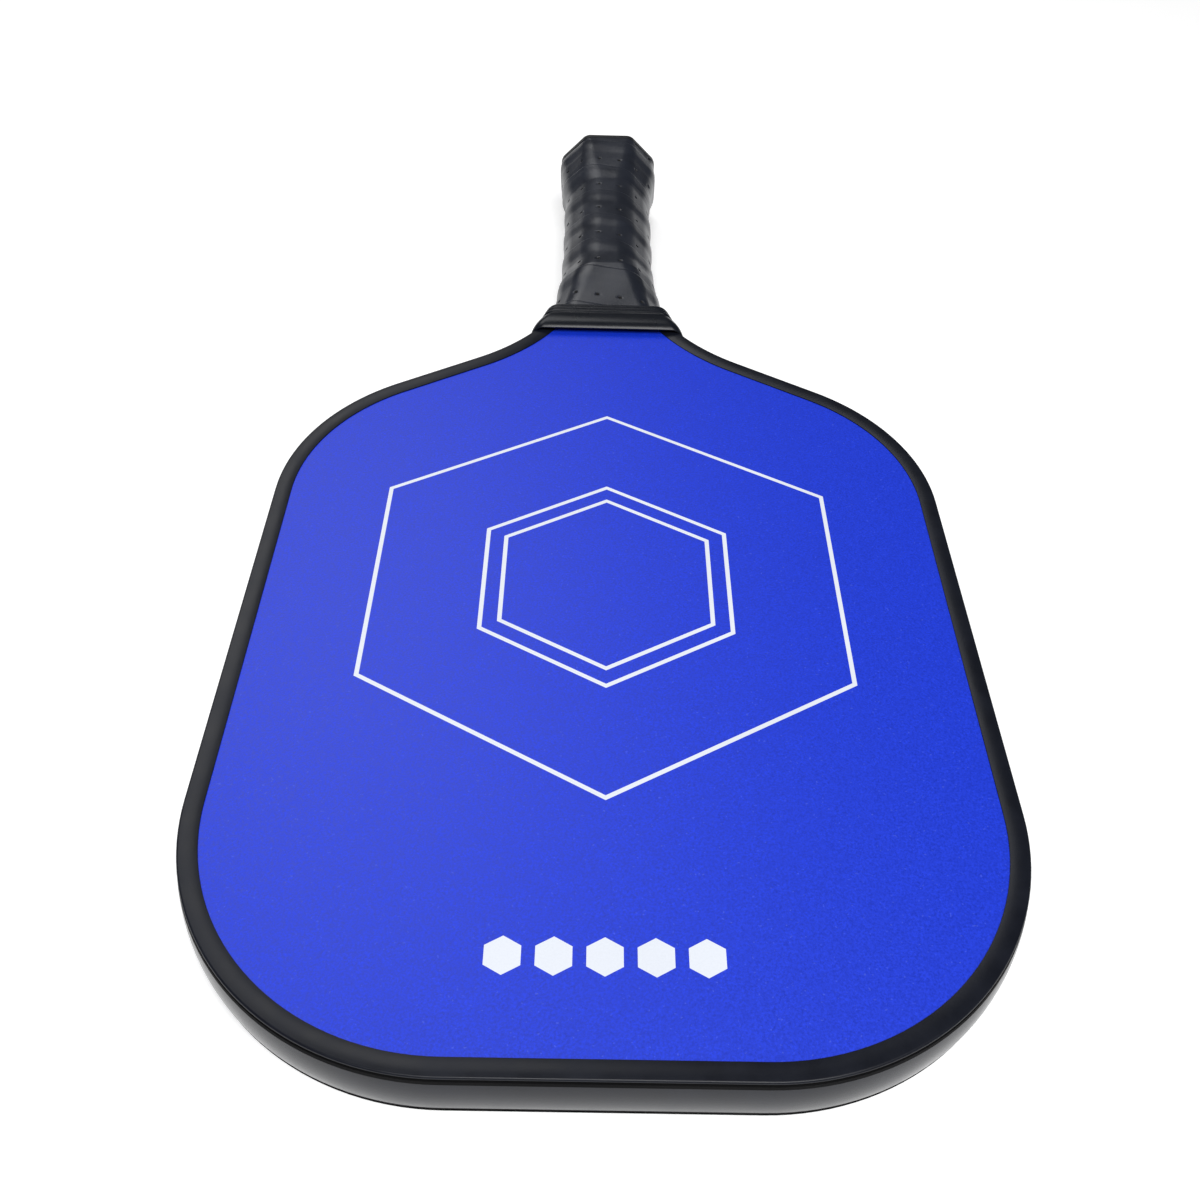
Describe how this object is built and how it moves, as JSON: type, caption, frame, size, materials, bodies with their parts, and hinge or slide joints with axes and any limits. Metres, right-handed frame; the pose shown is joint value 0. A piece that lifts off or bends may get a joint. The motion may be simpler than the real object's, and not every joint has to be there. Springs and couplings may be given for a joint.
{
  "type": "pickleball paddle",
  "caption": "Wide-body court paddle: honeycomb board with bonded blue faces, black edge guard, rubber throat collar and a wrapped eight-sided handle.",
  "frame": {"origin": "half way along the paddle, on its centre line, at the middle of the board's thickness", "axes": "+Y from the tip towards the butt, +X to the right when the front face is up, +Z out of the front face"},
  "size_m": [0.199, 0.4, 0.0344],
  "materials": {
    "core_plastic": "satin",
    "adhesive_film": "satin",
    "glass_fibre": "gloss",
    "blue_film": "satin",
    "white_ink": "satin",
    "guard_plastic": "satin",
    "handle_plastic": "matte",
    "grip_foam": "satin",
    "end_tape": "gloss",
    "collar_rubber": "satin",
    "cap_plastic": "satin",
    "badge_plastic": "gloss",
    "staple_steel": "satin"
  },
  "bodies": {
    "root": {"honeycomb_core": "core_plastic", "front_bond_film": "adhesive_film", "back_bond_film": "adhesive_film", "front_face_sheet": "glass_fibre", "back_face_sheet": "glass_fibre", "front_graphic_film": "blue_film", "back_graphic_film": "blue_film", "front_print": "white_ink", "back_print": "white_ink", "edge_guard_tape": "adhesive_film", "edge_guard": "guard_plastic", "handle_shell_front": "handle_plastic", "handle_shell_back": "handle_plastic", "handle_tape": "adhesive_film", "cushion_grip": "grip_foam", "grip_end_tape": "end_tape", "throat_collar": "collar_rubber", "butt_cap": "cap_plastic", "butt_cap_badge": "badge_plastic", "butt_cap_staples": "staple_steel"}
  },
  "joints": []
}
